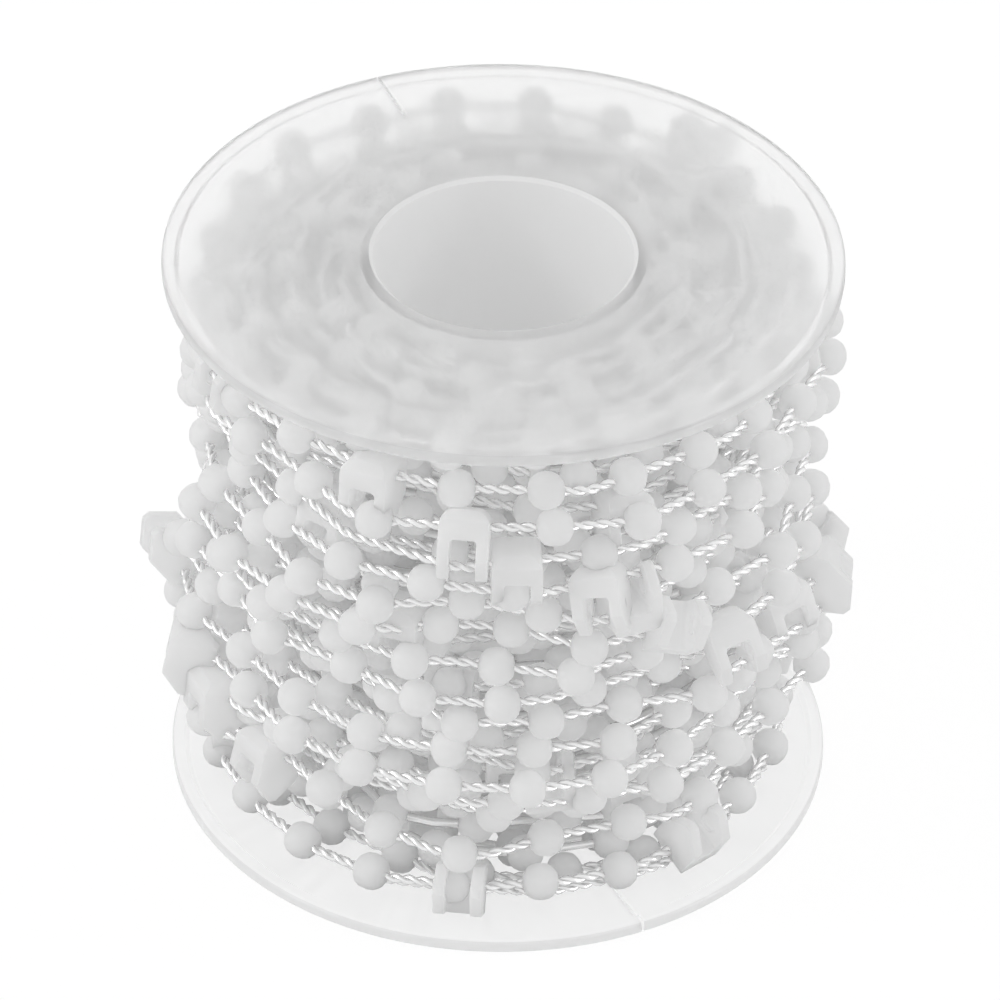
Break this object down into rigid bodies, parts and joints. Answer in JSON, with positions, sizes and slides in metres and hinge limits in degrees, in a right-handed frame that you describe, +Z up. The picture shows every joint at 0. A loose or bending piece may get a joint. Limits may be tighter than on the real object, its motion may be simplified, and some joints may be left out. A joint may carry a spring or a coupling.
{
  "type": "beaded blind chain on a reel",
  "caption": "Clear plastic flanged reel wound with white beaded blind chain: a twisted cord with ball beads at an even pitch and moulded forked clips along it.",
  "frame": {"origin": "on the spool's axis, at the underside of the lower flange", "axes": "+Z up along the spool's axis, from the lower flange to the upper one; -Y towards the picture's camera"},
  "size_m": [0.0751, 0.0751, 0.0644],
  "materials": {
    "spool_plastic": "frosted clear moulded plastic, smooth",
    "chain_white": "satin white moulded beads on a shiny twisted white cord",
    "clip_white": "satin white moulded plastic"
  },
  "bodies": {
    "root": {"spool_lower_half": "spool_plastic", "spool_upper_half": "spool_plastic", "wound_chain": "chain_white", "clip_01": "clip_white", "clip_02": "clip_white", "clip_03": "clip_white", "clip_04": "clip_white", "clip_05": "clip_white", "clip_06": "clip_white", "clip_07": "clip_white", "clip_08": "clip_white", "clip_09": "clip_white", "clip_10": "clip_white", "clip_11": "clip_white", "clip_12": "clip_white", "clip_13": "clip_white", "clip_14": "clip_white", "clip_15": "clip_white", "clip_16": "clip_white", "clip_17": "clip_white", "clip_18": "clip_white", "clip_19": "clip_white", "clip_20": "clip_white", "clip_21": "clip_white", "clip_22": "clip_white", "clip_23": "clip_white", "clip_24": "clip_white", "clip_25": "clip_white", "clip_26": "clip_white"}
  },
  "joints": []
}
